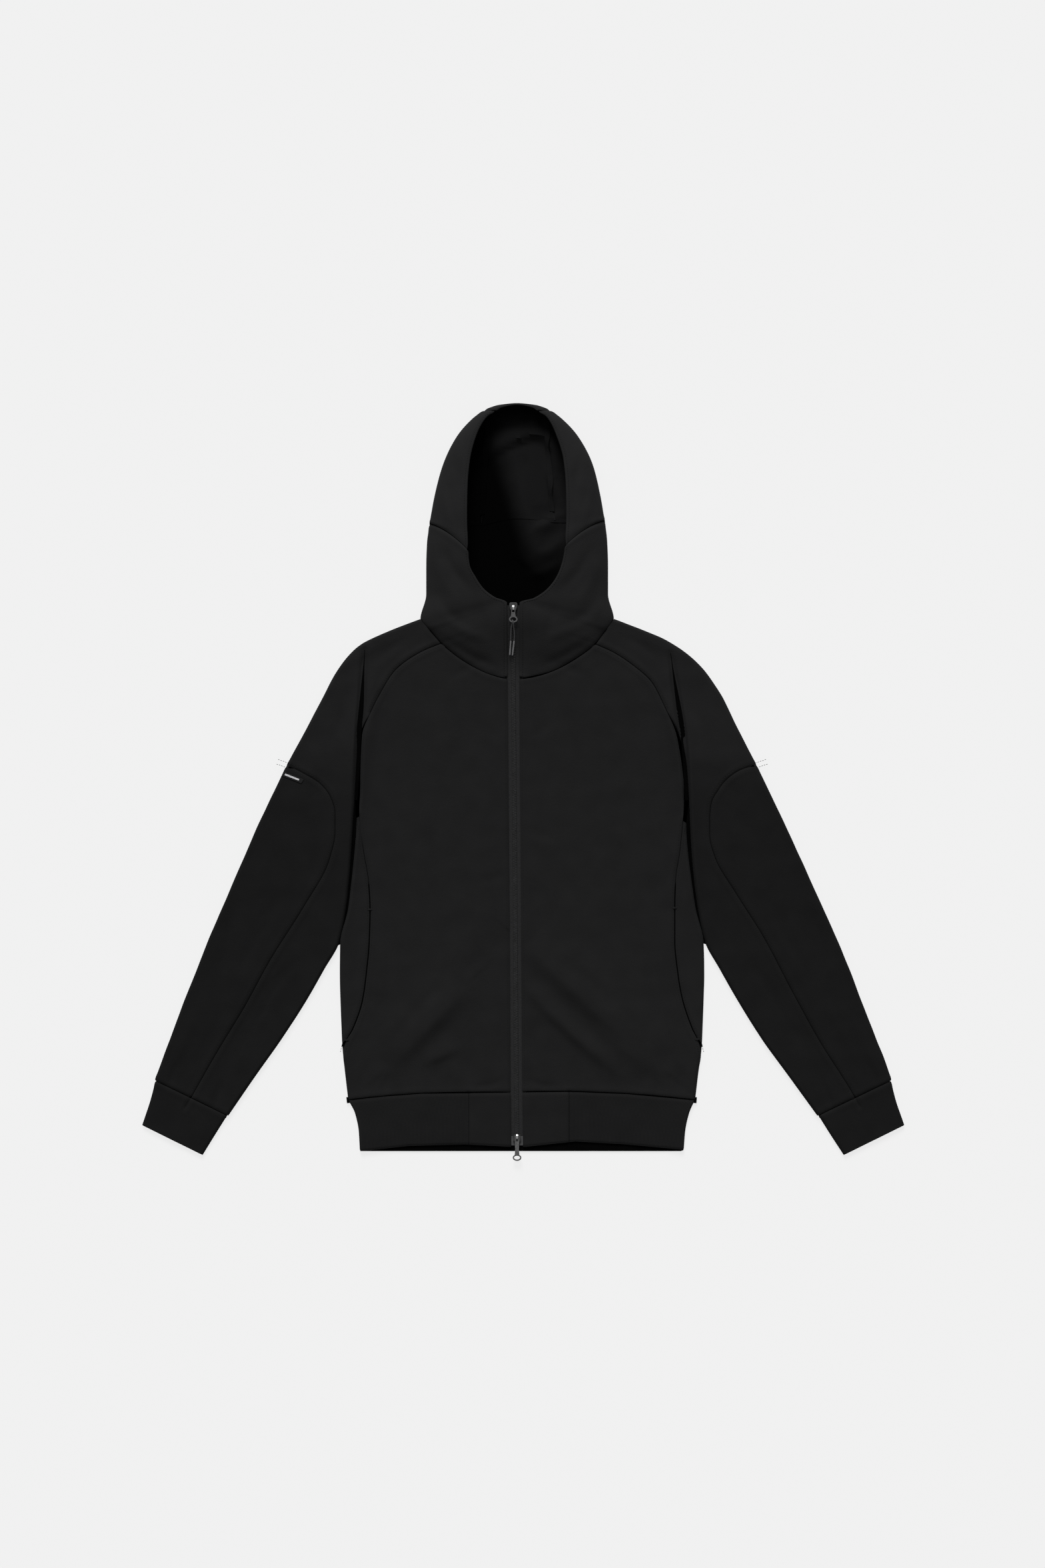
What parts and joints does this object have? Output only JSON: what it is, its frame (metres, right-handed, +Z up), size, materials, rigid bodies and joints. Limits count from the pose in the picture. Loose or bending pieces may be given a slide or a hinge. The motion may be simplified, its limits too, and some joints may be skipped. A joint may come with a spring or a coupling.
{
  "type": "zip up hoodie",
  "caption": "Zip up hoodie laid flat on its back, with a tall hood, raglan shoulders, side pockets, ribbed hem and cuffs, and a two-way zip.",
  "frame": {"origin": "on the floor under the middle of the garment's box", "axes": "+X to the viewer's right, +Y from the hem to the hood, +Z up from the floor"},
  "size_m": [1.0078, 0.9986, 0.037],
  "materials": {
    "cloth": "black brushed heavyweight jersey, matt",
    "rib": "black fine rib knit, matt",
    "zip_tape": "black woven zip tape with a nylon coil",
    "steel": "gunmetal plated zinc, satin",
    "cord": "black braided cord",
    "cord_tip": "dark grey moulded cord tip",
    "label": "black woven label with a plain light bar"
  },
  "bodies": {
    "garment": {"back": "cloth", "front_left": "cloth", "front_right": "cloth", "side_left": "cloth", "side_right": "cloth", "shoulder_left": "cloth", "shoulder_right": "cloth", "elbow_left": "cloth", "elbow_right": "cloth", "hem_end_left": "cloth", "hem_end_right": "cloth", "hood_left": "cloth", "hood_right": "cloth", "hood_strip": "cloth", "collar_left": "cloth", "collar_right": "cloth", "collar_back": "cloth", "hem_rib": "rib", "cuff_left": "rib", "cuff_right": "rib", "zip_left": "zip_tape", "zip_right": "zip_tape", "slider_top": "steel", "slider_bottom": "steel", "label": "label"},
    "top_pull": {"pull_top": "steel", "pull_cord": "cord", "tip_left": "cord_tip", "tip_right": "cord_tip"},
    "bottom_pull": {"pull_bottom": "steel"}
  },
  "joints": [
    {"name": "top_pull_hinge", "type": "hinge", "parent": "garment", "child": "top_pull", "pos_m": [-0.013, 0.229, 0.03205], "axis": [-1, 0, 0], "range_deg": [0, 150]},
    {"name": "bottom_pull_hinge", "type": "hinge", "parent": "garment", "child": "bottom_pull", "pos_m": [-0.0081, -0.467, 0.0083], "axis": [-1, 0, 0], "range_deg": [0, 150]}
  ]
}
